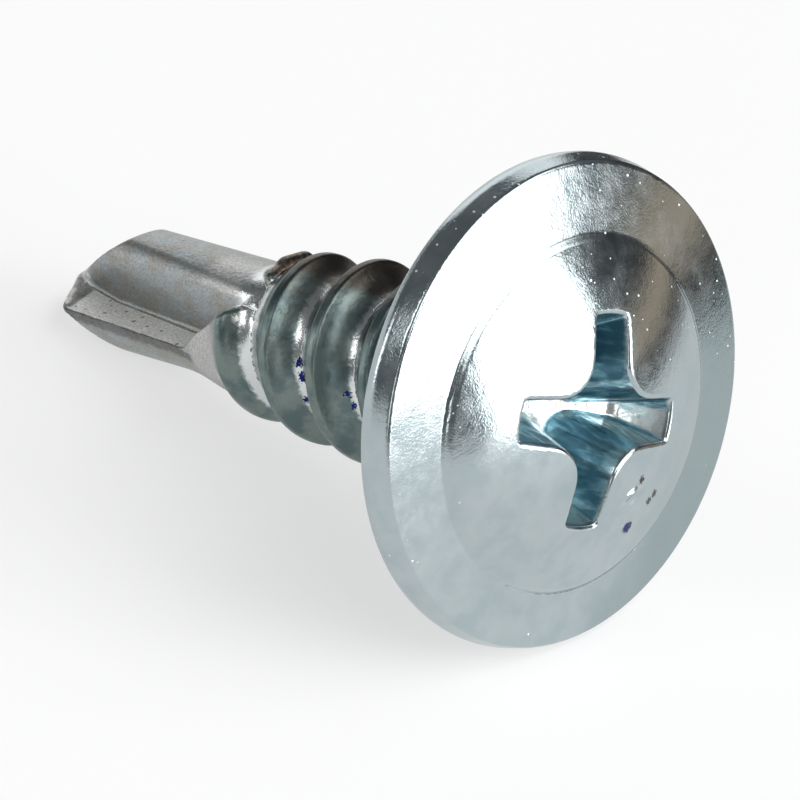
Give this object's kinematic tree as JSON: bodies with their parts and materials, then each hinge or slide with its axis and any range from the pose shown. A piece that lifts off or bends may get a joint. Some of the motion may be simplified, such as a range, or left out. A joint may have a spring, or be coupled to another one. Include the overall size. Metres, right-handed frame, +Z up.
{
  "type": "self drilling screw",
  "caption": "Short wafer-head self-drilling screw with a cross recess, a coarse thread and a fluted drill point, lying at rest.",
  "frame": {"origin": "bottom centre of the screw's bounding box, on the surface it lies on", "axes": "+Z up, the screw's axis in the XZ plane with its head towards +X and raised by about 17 degrees"},
  "size_m": [0.0148, 0.01, 0.0096],
  "materials": {
    "zinc_plated_steel": "bright zinc plate, satin"
  },
  "bodies": {
    "root": {"screw": "zinc_plated_steel"}
  },
  "joints": []
}
